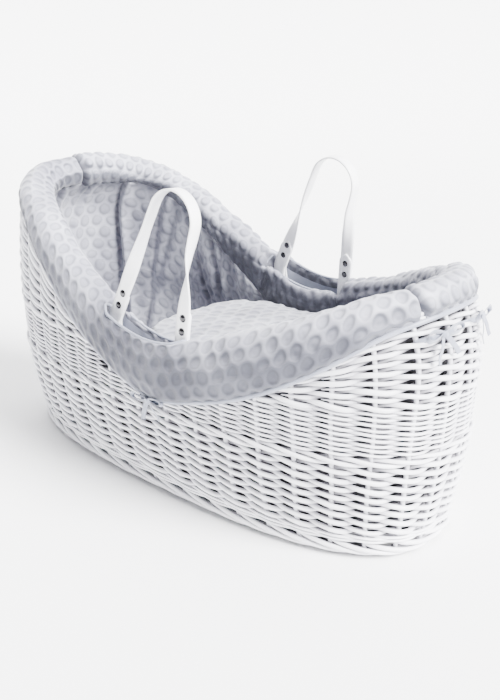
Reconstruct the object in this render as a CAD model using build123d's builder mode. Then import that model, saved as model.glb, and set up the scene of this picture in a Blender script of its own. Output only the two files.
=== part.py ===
from build123d import *
import os
from math import atan, ceil, cos, degrees, pi, radians, sin, tan

# Pod moses basket: a hooded willow basket, its padded fabric dressing, bedding and two strap
# handles. Millimetres, +Z up, head (hood) towards -X, foot towards +X. The origin is on the
# floor, in the middle of the overall length and width. The basket is symmetric about Y = 0.

# ---------------------------------------------------------------- driving dimensions
HEAD_BASE_LENGTH = 386       # from the middle to the outside of the wall at the floor
FOOT_BASE_LENGTH = 393
BASE_HALF_WIDTH = 152
HEAD_FLARE = 35              # how far each stretch of the wall bulges out above the floor
FOOT_FLARE = 28
SIDE_FLARE = 44
HEAD_BULGE_HEIGHT = 250      # where each stretch of the wall is widest
FOOT_BULGE_HEIGHT = 265
SIDE_BULGE_HEIGHT = 250
BASE_POWER = 2.7             # how square the plan outline is at the floor
RIM_POWER = 2.4              # and at the rim
WALL_TOP = 490               # the wall surface is defined up to here

WEAVE_THICKNESS = 9          # stake plus the rods woven in front of and behind it
STAKE_RADIUS = 3
STAKE_COUNT = 38
STAKE_RUN = 27               # longest straight run of a stake
FOOT_BORDER_HEIGHT = 22      # plaited border the basket stands on
FOOT_BORDER_OUTSET = 4
FOOT_BORDER_INSET = 12
BASE_MAT_BOTTOM = 16
BASE_MAT_TOP = 26
WALE_BOTTOM = 150            # band of long rods between the thick and the thin weave
WALE_TOP = 164
BORDER_HEIGHT = 14           # rolled border along the rim

SOFT_GAP = 0.4               # air between a soft piece and its neighbour
HEM_OUTSET = 12.5            # bumper's outer flap, outside the wall
ROLL_INSET = 40              # bumper's inner edge, inside the wall
LINER_THICKNESS = 10
LINER_FLOOR = 3
LINER_SHELF = 195            # above this the liner swells inwards to the bumper's inner edge
PIPING_HEIGHT = 6
PIPING_THICKNESS = 2.5
FOOT_PANEL_HALF_WIDTH = 62   # separate puffy panel over the foot end
SLOT_INWARD = 24             # the slot that each handle stands in, from the rim border inwards
SLOT_OUTWARD = 11.5
SLOT_BOTTOM = 202
SLOT_BINDING = 2.5

LEG_MIDDLE_X = 25.5
LEG_SPACING = 125
HEAD_LEG_SLANT = 0.4         # how far each leg slants towards the foot for its height
FOOT_LEG_SLANT = 0.14
STRAP_WIDTH = 25
STRAP_THICKNESS = 2.5
STRAP_LEAN = 4               # degrees inwards at rest
WALL_CURVE = 1.3             # the rim border curves in by about this much between the legs
LOOP_RADIUS = 7.8            # inside of the strap's loop round the rim border
LOOP_DROP = 5                # middle of the loop's round bottom, below the border's middle
LOOP_SHOULDER = 3            # where the loop starts to close up, above the border's middle
LOOP_LENGTH = 56             # along the strap, where the two layers close up
TIP_HEIGHT = 104             # where the folded-back layer ends in a point
BEND_HEIGHT = 112            # where the single layer above the rivets bends
BEND_GAP = 1.6               # half the gap left there, so that the two rigid halves can turn
TWIST_TOP = 175              # the strap turns its width from along X to along Y up to here
ARCH_HEIGHT = 258            # top of the handle
ARCH_RADIUS = 40
RIVET_HEIGHTS = (74, 93)
RIVET_HEAD_RADIUS = 4.5
RIVET_HEAD_HEIGHT = 2.4
RIVET_POST_RADIUS = 2

MATTRESS_HALF_LENGTH = 362
MATTRESS_HALF_WIDTH = 136
MATTRESS_THICKNESS = 45
COVERLET_MIDDLE_X = 100
COVERLET_HEAD_LENGTH = 180
COVERLET_FOOT_LENGTH = 252
COVERLET_HALF_WIDTH = 140
COVERLET_TOP = 232

BOW_SIDE_X = 36              # one bow at each side's lowest point
BOW_SIDE_HEIGHT = 178
BOW_FOOT_Y = 45              # and one at each corner of the foot panel
BOW_FOOT_HEIGHT = 325
BOW_FOOT_LEAN = 8            # degrees, to follow the wall there

# ---------------------------------------------------------------- side view of the rim
# (x, z) points of the rim's top, of the bumper's hem and of the bumper's crest. The rim is
# level between the two legs of a handle.
RIM_LOW = 228
RIM = [(-440, 449), (-390, 441), (-300, 408), (-170, 316), (-95, 256), (-60, RIM_LOW + 4),
       (-20, RIM_LOW), (105, RIM_LOW), (150, 237), (217, 264), (310, 318), (372, 350), (440, 376)]
HEM = [(-440, 423), (-390, 414), (-300, 385), (-170, 285), (-80, 224), (40, 179),
       (130, 197), (217, 229), (310, 284), (372, 331), (440, 363)]
CREST = [(-440, 469), (-360, 460), (-300, 435), (-225, 399), (-147, 348), (-60, 299), (45, 273),
         (130, 288), (217, 317), (310, 356), (355, 371), (440, 390)]

AXIS_Z = RIM_LOW - BORDER_HEIGHT / 2
LEG_X = (LEG_MIDDLE_X - LEG_SPACING / 2, LEG_MIDDLE_X + LEG_SPACING / 2)
LEG_SLANTS = (HEAD_LEG_SLANT, FOOT_LEG_SLANT)
SLOT_MIDDLE_X = LEG_MIDDLE_X - 1
SLOT_LENGTH = LEG_SPACING + 58
os.makedirs("parts", exist_ok=True)


# ---------------------------------------------------------------- the wall's surface
def half_width(z):
    """Half the basket's width outside the wall, at height z."""
    if z < SIDE_BULGE_HEIGHT:
        below = (SIDE_BULGE_HEIGHT - z) / SIDE_BULGE_HEIGHT
        return BASE_HALF_WIDTH + SIDE_FLARE * (1 - below**2)
    return BASE_HALF_WIDTH + SIDE_FLARE - 20 * ((z - SIDE_BULGE_HEIGHT) / 300) ** 2


def head_length(z):
    """Distance from the middle to the outside of the wall at the head, at height z."""
    if z < HEAD_BULGE_HEIGHT:
        below = (HEAD_BULGE_HEIGHT - z) / HEAD_BULGE_HEIGHT
        return HEAD_BASE_LENGTH + HEAD_FLARE * (1 - below**2)
    return HEAD_BASE_LENGTH + HEAD_FLARE - 182 * ((z - HEAD_BULGE_HEIGHT) / 250) ** 4


def foot_length(z):
    """Distance from the middle to the outside of the wall at the foot, at height z."""
    if z < FOOT_BULGE_HEIGHT:
        below = (FOOT_BULGE_HEIGHT - z) / FOOT_BULGE_HEIGHT
        return FOOT_BASE_LENGTH + FOOT_FLARE * (1 - below**2)
    return FOOT_BASE_LENGTH + FOOT_FLARE - 27 * ((z - FOOT_BULGE_HEIGHT) / 125) ** 2


def power(z):
    """Exponent of the plan outline at height z."""
    return BASE_POWER + (RIM_POWER - BASE_POWER) * min(z / 310, 1)


def plan_point(head, foot, width, exponent, angle):
    """Point of a squared oval: angle 0 is the foot, 90 degrees the far side."""
    along, across = cos(angle), sin(angle)
    length = foot if along > 0 else head
    x = length * abs(along) ** (2 / exponent) * (1 if along > 0 else -1)
    y = width * abs(across) ** (2 / exponent) * (1 if across > 0 else -1)
    return (x, y)


def wall_point(angle, z, inset):
    """Point on the wall, inset mm inside its outer surface."""
    x, y = plan_point(head_length(z) - inset, foot_length(z) - inset, half_width(z) - inset,
                      power(z), angle)
    return (x, y, z)


def oval_face(plane, head, foot, width, exponent, count=24):
    """Face bounded by a squared oval."""
    with BuildSketch(plane) as face:
        with BuildLine():
            Spline(*[plan_point(head, foot, width, exponent, 2 * pi * (i + 0.5) / count)
                     for i in range(count)], periodic=True)
        make_face()
    return face.sketch


def wall_solid(inset, levels=8):
    """Everything inside the wall surface, inset mm inside its outside."""
    heights = [WALL_TOP * i / (levels - 1) for i in range(levels)]
    faces = [oval_face(Plane.XY.offset(z), head_length(z) - inset, foot_length(z) - inset,
                       half_width(z) - inset, power(z)) for z in heights]
    with BuildPart() as body:
        loft(faces)
    return body.part


# ---------------------------------------------------------------- bands of the wall
def level(z):
    """Level side-view line at height z."""
    return [(-440, z), (440, z)]


def raised(points, amount):
    """The same side-view curve, raised."""
    return [(x, z + amount) for x, z in points]


def side_curve(points):
    """Draw a side-view curve in the current BuildLine."""
    if len(points) == 2:
        Line(*points)
    else:
        Spline(*points)


def band(outside, inside, lower, upper):
    """What lies between two wall solids and between two side-view curves."""
    with BuildPart() as piece:
        with BuildSketch(Plane.XZ):
            with BuildLine():
                side_curve(lower)
                side_curve(upper)
                Line(lower[0], upper[0])
                Line(lower[-1], upper[-1])
            make_face()
        extrude(amount=300, both=True)
        add(outside, mode=Mode.INTERSECT)
        if inside:
            add(inside, mode=Mode.SUBTRACT)
    return piece.part


def rim_height(x):
    """Height of the rim's top at x."""
    for (x0, z0), (x1, z1) in zip(RIM, RIM[1:]):
        if x0 <= x <= x1:
            return z0 + (z1 - z0) * (x - x0) / (x1 - x0)
    return RIM[-1][1]


def save(part, name):
    """Label a finished piece and write it to its own file."""
    part.label = name
    export_step(part, f"parts/{name}.step")


wall_outside = wall_solid(0)
wall_inside = wall_solid(WEAVE_THICKNESS)
border_inside = wall_solid(FOOT_BORDER_INSET)
liner_outside = wall_solid(WEAVE_THICKNESS + SOFT_GAP)
liner_inside = wall_solid(WEAVE_THICKNESS + SOFT_GAP + LINER_THICKNESS)
roll_inside = wall_solid(ROLL_INSET)
flap_inside = wall_solid(-SOFT_GAP)
flap_outside = wall_solid(-HEM_OUTSET)
piping_outside = wall_solid(-HEM_OUTSET - PIPING_THICKNESS)

# The straps turn about this axis, the middle of the rim border's level stretch.
AXIS_Y = half_width(AXIS_Z) - WEAVE_THICKNESS / 2 - WALL_CURVE
loop_places = [(x, side * AXIS_Y, AXIS_Z) for x in LEG_X for side in (-1, 1)]
loop_reach = LOOP_RADIUS + STRAP_THICKNESS
loop_window = 2 * (LOOP_DROP + loop_reach + 2)

# ---------------------------------------------------------------- willow basket
with BuildPart() as foot_border:
    add(band(wall_solid(-FOOT_BORDER_OUTSET), border_inside, level(0),
             level(FOOT_BORDER_HEIGHT)))
save(foot_border.part, "foot_border")

with BuildPart() as base_mat:
    add(band(border_inside, None, level(BASE_MAT_BOTTOM), level(BASE_MAT_TOP)))
save(base_mat.part, "base_mat")

with BuildPart() as lower_weave:
    add(band(wall_outside, wall_inside, level(FOOT_BORDER_HEIGHT), level(WALE_BOTTOM)))
save(lower_weave.part, "lower_weave")

with BuildPart() as wale_band:
    add(band(wall_outside, wall_inside, level(WALE_BOTTOM), level(WALE_TOP)))
save(wale_band.part, "wale_band")

# The upper weave has a window under the border for each strap's loop.
upper_shell = band(wall_outside, wall_inside, level(WALE_TOP), raised(RIM, -BORDER_HEIGHT))
with BuildPart() as upper_weave:
    add(upper_shell)
    with Locations(*loop_places):
        Box(STRAP_WIDTH + 6, 40, loop_window, mode=Mode.SUBTRACT)
save(upper_weave.part, "upper_weave")

with BuildPart() as rim_border:
    add(band(wall_outside, wall_inside, raised(RIM, -BORDER_HEIGHT), RIM))
save(rim_border.part, "rim_border")


def even_angles(count, z):
    """Plan angles that space the stakes evenly along the wall at height z."""
    steps = 720
    samples = [Vector(*wall_point(2 * pi * i / steps, z, 0)) for i in range(steps + 1)]
    run = [0.0]
    for start, end in zip(samples, samples[1:]):
        run.append(run[-1] + (end - start).length)
    wanted = [run[-1] * (i + 0.5) / count for i in range(count)]
    nearest = [min(range(steps), key=lambda i: abs(run[i] - length)) for length in wanted]
    return [2 * pi * i / steps for i in nearest]


def stake_points(angle):
    """Corners of one stake, from inside the foot border up into the rim border."""
    low = FOOT_BORDER_HEIGHT / 2
    top = WALL_TOP
    for _ in range(8):
        top = rim_height(wall_point(angle, top, 0)[0]) - BORDER_HEIGHT / 2
    steps = ceil((top - low) / STAKE_RUN)
    return [wall_point(angle, low + (top - low) * i / steps, WEAVE_THICKNESS / 2)
            for i in range(steps + 1)]


# Each stake is bent to the wall in straight runs.
with BuildPart() as stakes:
    for angle in even_angles(STAKE_COUNT, SIDE_BULGE_HEIGHT):
        with BuildLine() as meridian:
            Polyline(*stake_points(angle))
        with BuildSketch(Plane(meridian.line @ 0, z_dir=meridian.line % 0)):
            Circle(STAKE_RADIUS)
        sweep(path=meridian.line, transition=Transition.RIGHT)
    with Locations(*loop_places):
        Box(STRAP_WIDTH + 6, 40, loop_window, mode=Mode.SUBTRACT)
save(stakes.part, "stakes")

# ---------------------------------------------------------------- padded dressing
upward = (Align.CENTER, Align.CENTER, Align.MIN)
slot_width = SLOT_INWARD + SLOT_OUTWARD
slot_y = AXIS_Y + (SLOT_OUTWARD - SLOT_INWARD) / 2
slot_places = [(SLOT_MIDDLE_X, side * slot_y, SLOT_BOTTOM) for side in (-1, 1)]
bound_length = SLOT_LENGTH + 2 * SLOT_BINDING
bound_width = slot_width + 2 * SLOT_BINDING
liner_bottom = BASE_MAT_TOP + SOFT_GAP
liner_plug = band(liner_outside, None, level(liner_bottom), RIM)
lower_hollow = band(liner_inside, None, level(liner_bottom + LINER_FLOOR), level(LINER_SHELF))
upper_hollow = band(roll_inside, None, level(LINER_SHELF), level(WALL_TOP))
with BuildPart() as liner:
    add(liner_plug)
    add(lower_hollow, mode=Mode.SUBTRACT)
    add(upper_hollow, mode=Mode.SUBTRACT)
    with Locations(*slot_places):
        Box(bound_length, bound_width, 200, align=upward, mode=Mode.SUBTRACT)
save(liner.part, "liner")

# The bumper is a padded roll over the rim with a flap down its outside. It is sewn from a near
# and a far half, which meet at the hood, and a puffy panel over the foot end.
roll_and_flap = band(flap_outside, roll_inside, raised(HEM, PIPING_HEIGHT), CREST)
room_for_rim = band(flap_inside, None, level(0), raised(RIM, SOFT_GAP))
with BuildPart() as bumper:
    add(roll_and_flap)
    add(room_for_rim, mode=Mode.SUBTRACT)
    with Locations(*slot_places):
        Box(bound_length, bound_width, 200, align=upward, mode=Mode.SUBTRACT)

panel_centre = (300, 0, 300)
with BuildPart() as bumper_foot:
    add(bumper.part)
    with Locations(panel_centre):
        Box(400, 2 * FOOT_PANEL_HALF_WIDTH, 600, mode=Mode.INTERSECT)
save(bumper_foot.part, "bumper_foot")

with BuildPart() as bumper_near:
    add(bumper.part)
    split(bisect_by=Plane.XZ, keep=Keep.TOP)
    with Locations(panel_centre):
        Box(400, 2 * FOOT_PANEL_HALF_WIDTH, 600, mode=Mode.SUBTRACT)
save(bumper_near.part, "bumper_near")
save(mirror(bumper_near.part, about=Plane.XZ), "bumper_far")

with BuildPart() as hem_piping:
    add(band(piping_outside, flap_inside, HEM, raised(HEM, PIPING_HEIGHT)))
    with Locations(*slot_places):
        Box(bound_length, bound_width, 200, align=upward, mode=Mode.SUBTRACT)
save(hem_piping.part, "hem_piping")

# Smooth binding that lines each handle slot from the rim up to the crest.
with BuildPart() as slot_binding:
    with BuildSketch(Plane.XZ.offset(slot_y)):
        with BuildLine():
            side_curve(raised(RIM, SOFT_GAP))
            side_curve(CREST)
            Line(raised(RIM, SOFT_GAP)[0], CREST[0])
            Line(raised(RIM, SOFT_GAP)[-1], CREST[-1])
        make_face()
        with Locations((SLOT_MIDDLE_X, RIM_LOW)):
            Rectangle(bound_length, 400, mode=Mode.INTERSECT)
    extrude(amount=bound_width / 2, both=True)
    with Locations((SLOT_MIDDLE_X, -slot_y, SLOT_BOTTOM)):
        Box(SLOT_LENGTH, slot_width, 200, align=upward, mode=Mode.SUBTRACT)
save(slot_binding.part, "slot_binding_near")
save(mirror(slot_binding.part, about=Plane.XZ), "slot_binding_far")

# Ribbon bow, its back on the plane Y = 0 and its knot at the origin.
bow_loop = [(4, 2), (16, 10), (30, 9), (33, 0), (26, -6), (14, -4), (4, -2)]
bow_tail = [(0, -3), (6, -3), (20, -34), (13, -38)]
with BuildPart() as bow:
    with Locations((0, -4, 0)):
        Box(11, 8, 10)
    for side in (-1, 1):
        with BuildSketch(Plane.XZ.offset(3)):
            with BuildLine():
                Spline(*[(side * x, y) for x, y in bow_loop])
                Line((side * 4, -2), (side * 4, 2))
            make_face()
        extrude(amount=2, both=True)
        with BuildSketch(Plane.XZ.offset(1)):
            with BuildLine():
                Polyline(*[(side * x, y) for x, y in bow_tail], close=True)
            make_face()
        extrude(amount=1, both=True)

hem_reach = HEM_OUTSET + PIPING_THICKNESS + 2
side_bow_place = Location((BOW_SIDE_X, -half_width(BOW_SIDE_HEIGHT) - hem_reach,
                           BOW_SIDE_HEIGHT))
foot_bow_place = (Location((foot_length(BOW_FOOT_HEIGHT) - 2, -BOW_FOOT_Y, BOW_FOOT_HEIGHT),
                           (0, 0, 78)) * Location((0, 0, 0), (-BOW_FOOT_LEAN, 0, 0)))
for place, name in ((side_bow_place, "bow_side"), (foot_bow_place, "bow_foot")):
    placed_bow = bow.part.moved(place)
    save(placed_bow, name + "_near")
    save(mirror(placed_bow, about=Plane.XZ), name + "_far")

# ---------------------------------------------------------------- bedding
mattress_bottom = liner_bottom + LINER_FLOOR + SOFT_GAP
with BuildPart() as mattress:
    add(oval_face(Plane.XY.offset(mattress_bottom), MATTRESS_HALF_LENGTH, MATTRESS_HALF_LENGTH,
                  MATTRESS_HALF_WIDTH, BASE_POWER))
    extrude(amount=MATTRESS_THICKNESS)
    fillet(mattress.edges().group_by(Axis.Z)[-1], 8)
save(mattress.part, "mattress")

# The quilted coverlet puffs up over the mattress; its solid fills the air under the quilt.
coverlet_bottom = mattress_bottom + MATTRESS_THICKNESS + SOFT_GAP
coverlet_levels = [(coverlet_bottom, 3), (150, 0), (205, 6), (COVERLET_TOP, 36)]
coverlet_faces = [oval_face(Plane((COVERLET_MIDDLE_X, 0, z)), COVERLET_HEAD_LENGTH - inset,
                            COVERLET_FOOT_LENGTH - inset, COVERLET_HALF_WIDTH - inset, RIM_POWER)
                  for z, inset in coverlet_levels]
with BuildPart() as coverlet:
    loft(coverlet_faces)
save(coverlet.part, "coverlet")

# ---------------------------------------------------------------- handles
# A handle is drawn about its hinge: X along the basket, Z up the strap, -Y outwards. It is then
# leaned inwards and put on the rim border.
handle_place = Location((0, -AXIS_Y, AXIS_Z), (-STRAP_LEAN, 0, 0))
end_top = BEND_HEIGHT - BEND_GAP
arch_bottom = BEND_HEIGHT + BEND_GAP


def save_handle_piece(part, name):
    """Write a handle's piece for the near side, and its mirror image for the far side."""
    placed = part.moved(handle_place)
    save(placed, name + "_near")
    save(mirror(placed, about=Plane.XZ), name + "_far")


def leg_middle(base_x, slant, height):
    """X of a leg's middle line, at a height up the strap."""
    return base_x + slant * max(height - LOOP_LENGTH, 0)


def loop_outline(reach):
    """Draw the strap's loop round the border, reach from its middle, up to its shoulders."""
    CenterArc((0, -LOOP_DROP), reach, 180, 180)
    Line((-reach, -LOOP_DROP), (-reach, LOOP_SHOULDER))
    Line((reach, -LOOP_DROP), (reach, LOOP_SHOULDER))


def leg_outline(base_x, slant, heights, tip=None):
    """Draw the outline of one flat layer of a leg between two heights, with a pointed tip."""
    low, high = heights
    (low_x, high_x) = (leg_middle(base_x, slant, low), leg_middle(base_x, slant, high))
    half = STRAP_WIDTH / 2
    corners = [(low_x - half, low), (low_x + half, low), (high_x + half, high)]
    if tip:
        corners.append((leg_middle(base_x, slant, tip), tip))
    corners.append((high_x - half, high))
    Polyline(*corners, close=True)


# Each end of the strap goes down outside, round the border and back up inside, where it ends in
# a point and is riveted to the outer layer.
for x, slant, name in zip(LEG_X, LEG_SLANTS, ("strap_head_end", "strap_foot_end")):
    with BuildPart() as strap_end:
        with BuildSketch(Plane.YZ.offset(x)):
            with BuildLine():
                loop_outline(loop_reach)
                Polyline((-loop_reach, LOOP_SHOULDER), (-STRAP_THICKNESS, LOOP_LENGTH),
                         (STRAP_THICKNESS, LOOP_LENGTH), (loop_reach, LOOP_SHOULDER))
            make_face()
            with BuildLine():
                loop_outline(LOOP_RADIUS)
                Polyline((-LOOP_RADIUS, LOOP_SHOULDER), (0, LOOP_LENGTH - 1.5),
                         (LOOP_RADIUS, LOOP_SHOULDER))
            make_face(mode=Mode.SUBTRACT)
        extrude(amount=STRAP_WIDTH / 2, both=True)
        with BuildSketch(Plane.XZ):
            with BuildLine():
                leg_outline(x, slant, (LOOP_LENGTH, end_top))
            make_face()
        extrude(amount=STRAP_THICKNESS)
        with BuildSketch(Plane.XZ):
            with BuildLine():
                leg_outline(x, slant, (LOOP_LENGTH, TIP_HEIGHT - 9), TIP_HEIGHT)
            make_face()
        extrude(amount=-STRAP_THICKNESS)
        with Locations(*[Plane((leg_middle(x, slant, z), 0, z), z_dir=(0, 1, 0))
                         for z in RIVET_HEIGHTS]):
            Cylinder(RIVET_POST_RADIUS, 20, mode=Mode.SUBTRACT)
    save_handle_piece(strap_end.part, name)

# Four rivets hold a handle: a domed head outside, a post through both layers, a washer inside.
with BuildPart() as rivet:
    with Locations((0, 0, STRAP_THICKNESS)):
        Cylinder(RIVET_HEAD_RADIUS, RIVET_HEAD_HEIGHT, align=upward)
    fillet(rivet.edges().group_by(Axis.Z)[-1], RIVET_HEAD_HEIGHT * 0.7)
    with Locations((0, 0, -STRAP_THICKNESS)):
        Cylinder(RIVET_POST_RADIUS, 2 * STRAP_THICKNESS, align=upward)
    with Locations((0, 0, -STRAP_THICKNESS - 1)):
        Cylinder(RIVET_HEAD_RADIUS, 1, align=upward)

with BuildPart() as rivets:
    with Locations(*[Location((leg_middle(x, slant, z), 0, z), (90, 0, 0))
                     for x, slant in zip(LEG_X, LEG_SLANTS) for z in RIVET_HEIGHTS]):
        add(rivet.part)
save_handle_piece(rivets.part, "rivets")


def twist_face(x, height, heading, turn):
    """Strap section at (x, height), square to a heading and turned about it; in degrees."""
    along = Vector(cos(radians(heading)), 0, sin(radians(heading)))
    across = Vector(sin(radians(heading)), 0, -cos(radians(heading)))
    outward = Vector(0, -1, 0)
    wide = across * cos(radians(turn)) + outward * sin(radians(turn))
    with BuildSketch(Plane((x, -STRAP_THICKNESS / 2, height), x_dir=wide, z_dir=along)) as face:
        Rectangle(STRAP_WIDTH, STRAP_THICKNESS)
    return face.sketch


def twist_faces(base_x, slant, steps=6):
    """Sections of one leg, from across the basket at the bend to along it at the arch."""
    share = [i / steps for i in range(steps + 1)]
    heights = [arch_bottom + (TWIST_TOP - arch_bottom) * t for t in share]
    return [twist_face(leg_middle(base_x, slant, z), z, 90 - degrees(atan(slant)) * t, 90 * t)
            for t, z in zip(share, heights)]


# Between the bend and the arch each leg turns by a quarter about itself. The arch is a straight
# run, a round bow and a second straight run.
(left_x, right_x) = (leg_middle(x, slant, TWIST_TOP) for x, slant in zip(LEG_X, LEG_SLANTS))
left_heading = pi / 2 - atan(HEAD_LEG_SLANT)
right_heading = pi / 2 - atan(FOOT_LEG_SLANT)
left_rise = ARCH_HEIGHT - TWIST_TOP - ARCH_RADIUS * (1 - cos(left_heading))
left_end = (left_x + left_rise / tan(left_heading), TWIST_TOP + left_rise)
bow_turn = 180 - degrees(right_heading - left_heading)
right_faces = twist_faces(LEG_X[1], FOOT_LEG_SLANT)
left_faces = twist_faces(LEG_X[0], HEAD_LEG_SLANT)
with BuildPart() as strap_arch:
    with BuildSketch(Plane.XZ.offset(STRAP_THICKNESS / 2)):
        with BuildLine() as arch:
            left = Line((left_x, TWIST_TOP), left_end)
            round_top = JernArc(left @ 1, left % 1, ARCH_RADIUS, -bow_turn)
            Line(round_top @ 1, (right_x, TWIST_TOP))
            offset(amount=STRAP_THICKNESS / 2)
        make_face()
    extrude(amount=STRAP_WIDTH / 2, both=True)
    loft(right_faces, ruled=True)
    loft(left_faces, ruled=True)
save_handle_piece(strap_arch.part, "strap_arch")
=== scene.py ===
from math import atan, cos, pi, radians, sin, tan

import bpy
import numpy as np
from mathutils import Matrix, Vector, noise


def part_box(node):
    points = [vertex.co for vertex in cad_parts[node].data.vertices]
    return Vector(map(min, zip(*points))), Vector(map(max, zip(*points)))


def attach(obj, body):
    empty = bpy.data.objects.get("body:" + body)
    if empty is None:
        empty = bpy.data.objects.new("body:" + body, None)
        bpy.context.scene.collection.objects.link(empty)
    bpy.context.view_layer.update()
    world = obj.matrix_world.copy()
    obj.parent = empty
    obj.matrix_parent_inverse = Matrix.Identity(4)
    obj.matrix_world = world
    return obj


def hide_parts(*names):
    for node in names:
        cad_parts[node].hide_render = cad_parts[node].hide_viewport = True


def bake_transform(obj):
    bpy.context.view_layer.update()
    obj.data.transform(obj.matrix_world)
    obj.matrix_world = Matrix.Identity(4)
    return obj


# Hooded willow moses basket: woven rods, padded plush dressing, bedding, ribbons and strap
# handles. Metres, +Z up, head towards -X, foot towards +X.

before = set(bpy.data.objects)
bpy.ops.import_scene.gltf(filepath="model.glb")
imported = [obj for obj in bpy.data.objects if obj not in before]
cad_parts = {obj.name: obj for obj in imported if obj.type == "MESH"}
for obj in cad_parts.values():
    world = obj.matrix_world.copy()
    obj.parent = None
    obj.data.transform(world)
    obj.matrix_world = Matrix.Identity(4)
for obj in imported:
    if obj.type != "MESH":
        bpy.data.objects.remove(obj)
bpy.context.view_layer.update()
mm = 0.001
UP = np.array([0, 0, 1.0])

# ---------------------------------------------------------------- driving dimensions
HEAD_BASE_LENGTH = 386 * mm
FOOT_BASE_LENGTH = 393 * mm
BASE_HALF_WIDTH = 152 * mm
HEAD_FLARE = 35 * mm
FOOT_FLARE = 28 * mm
SIDE_FLARE = 44 * mm
HEAD_BULGE_HEIGHT = 250 * mm
FOOT_BULGE_HEIGHT = 265 * mm
SIDE_BULGE_HEIGHT = 250 * mm
BASE_POWER = 2.7             # how square the plan outline is at the floor
RIM_POWER = 2.4              # and at the rim, from the height below upwards
RIM_POWER_HEIGHT = 310 * mm
TURN_POWER = 2.45            # and in the outline that shares out the way round
QUILT_POWER = 3.0

PIPING_RADIUS = 1.8 * mm

STAKE_COUNT = 38
STAKE_DEPTH = -4.5 * mm      # middle of the weave, from the wall's outer surface
STAKE_RADIUS = 3.3 * mm
THICK_ROD = 3.35 * mm
THIN_ROD = 1.95 * mm
THICK_PITCH = 14.3 * mm
THIN_PITCH = 7.3 * mm
WALE_BOTTOM = 150 * mm
WALE_TOP = 164 * mm
FAN_START = 230 * mm         # the thick rows above this fan out to follow the rising rim
BORDER_HEIGHT = 14 * mm

FOOT_TUCK = 8 * mm           # the bumper leans in over the foot end
FOOT_LIFT = 8 * mm
FOOT_PANEL_HALF_WIDTH = 62 * mm
LINER_BOTTOM = 28 * mm
LINER_BACK = -14 * mm         # back of the padded lining, from the wall's outer surface
LINER_FACE = -22 * mm         # its face low down, and how much further in it swells above
LINER_SWELL = 15 * mm
COVERLET_MIDDLE_X = 100 * mm

DIMPLE_PITCH = 25 * mm
DIMPLE_ROW_GAP = DIMPLE_PITCH * 0.866
DIMPLE_RADIUS = 11 * mm
DIMPLE_HEIGHT = 2.4 * mm

LEG_X = (-43 * mm, 95 * mm)
LEG_SLANTS = (0.455, 0.08)
STRAP_WIDTH = 25 * mm
STRAP_FULL = 0.96            # share of that width at the rivets, and how much goes by the arch
STRAP_SLIMMING = 0.2
STRAP_THICKNESS = 2.5 * mm
STRAP_LEAN = radians(4)
WALL_CURVE = 1.3 * mm        # the rim border curves in by this much between the legs
LOOP_RADIUS = 9.05 * mm      # to the middle of the strap's thickness
LOOP_DROP = 5 * mm
LOOP_SHOULDER = 3 * mm
LOOP_LENGTH = 56 * mm
TIP_HEIGHT = 104 * mm
BEND_HEIGHT = 112 * mm
TWIST_TOP = 175 * mm         # where the legs run into the arch
TWIST_LOW = 92 * mm          # the strap turns a quarter about itself between these heights
TWIST_HIGH = 205 * mm
ARCH_HEIGHT = 258 * mm
ARCH_RADIUS = 40 * mm
RIVET_HEIGHTS = ((78 * mm, 97 * mm), (69 * mm, 88 * mm))
SLOT_ENDS = (-67 * mm, 116 * mm)
SLOT_EASE = 24 * mm          # over which a slot opens at each end
SLOT_LEVEL = 230 * mm
FOOT_LEVEL = 330 * mm
LOOPS_START = 197 * mm       # the straps' loops pass round the border above this

RIVET_DOMES = ((1, 5.4 * mm, 2.4 * mm), (-1, 5.0 * mm, 1.3 * mm))   # face, radius, height
RIVET_FLANGE = 0.6 * mm

RIBBON_WIDTH = 7 * mm
RIBBON_THICKNESS = 0.7 * mm
BOW_OUT = 4.5 * mm
BOW_SIDE_HEIGHT = 177 * mm
BOW_FOOT_HEIGHT = 326 * mm
BOW_FOOT_Y = 45 * mm

# (x, z) points of the rim's top, the bumper's hem and the bumper's crest, in millimetres.
RIM_LOW = 228
RIM = [(-440, 449), (-390, 441), (-300, 408), (-170, 316), (-95, 256), (-60, RIM_LOW + 4),
       (-20, RIM_LOW), (105, RIM_LOW), (150, 237), (217, 264), (310, 318), (372, 350), (440, 376)]
HEM = [(-440, 423), (-390, 414), (-300, 385), (-170, 285), (-80, 224), (40, 179),
       (130, 197), (217, 229), (310, 284), (372, 331), (440, 363)]
CREST = [(-440, 469), (-360, 460), (-300, 435), (-225, 399), (-147, 348), (-60, 299), (45, 273),
         (130, 288), (217, 317), (310, 356), (355, 371), (440, 390)]

VIEW_AZIMUTH = radians(41.6)
VIEW_ELEVATION = radians(21.2)
VIEW_DISTANCE = 1.4924
VIEW_ROLL = radians(0.27)
VIEW_TARGET = (0.0204, 0.0372, 0.1797)
LENS = 47.6
SWEEP_START = 3.0            # metres behind the basket, where the floor starts to rise
SWEEP_RADIUS = 1.5
FRONT_EXTRA = 1.5            # metres further off that it rises in front
WORLD_STRENGTH = 0.36
KEY_STRENGTH = 24.0
TOP_STRENGTH = 4.2

rng = np.random.default_rng(7)


# ---------------------------------------------------------------- the wall's surface
def bulge(z, base, flare, height, ease, ease_height, power_above):
    """Half length of the wall: widest at a height, and easing back above it."""
    below = base + flare * (1 - (np.minimum(z, height) / height - 1) ** 2)
    return below - ease * (np.maximum(z - height, 0) / ease_height) ** power_above


def half_width(z):
    return bulge(z, BASE_HALF_WIDTH, SIDE_FLARE, SIDE_BULGE_HEIGHT, 20 * mm, 300 * mm, 2)


def head_length(z):
    return bulge(z, HEAD_BASE_LENGTH, HEAD_FLARE, HEAD_BULGE_HEIGHT, 182 * mm, 250 * mm, 4)


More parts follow.
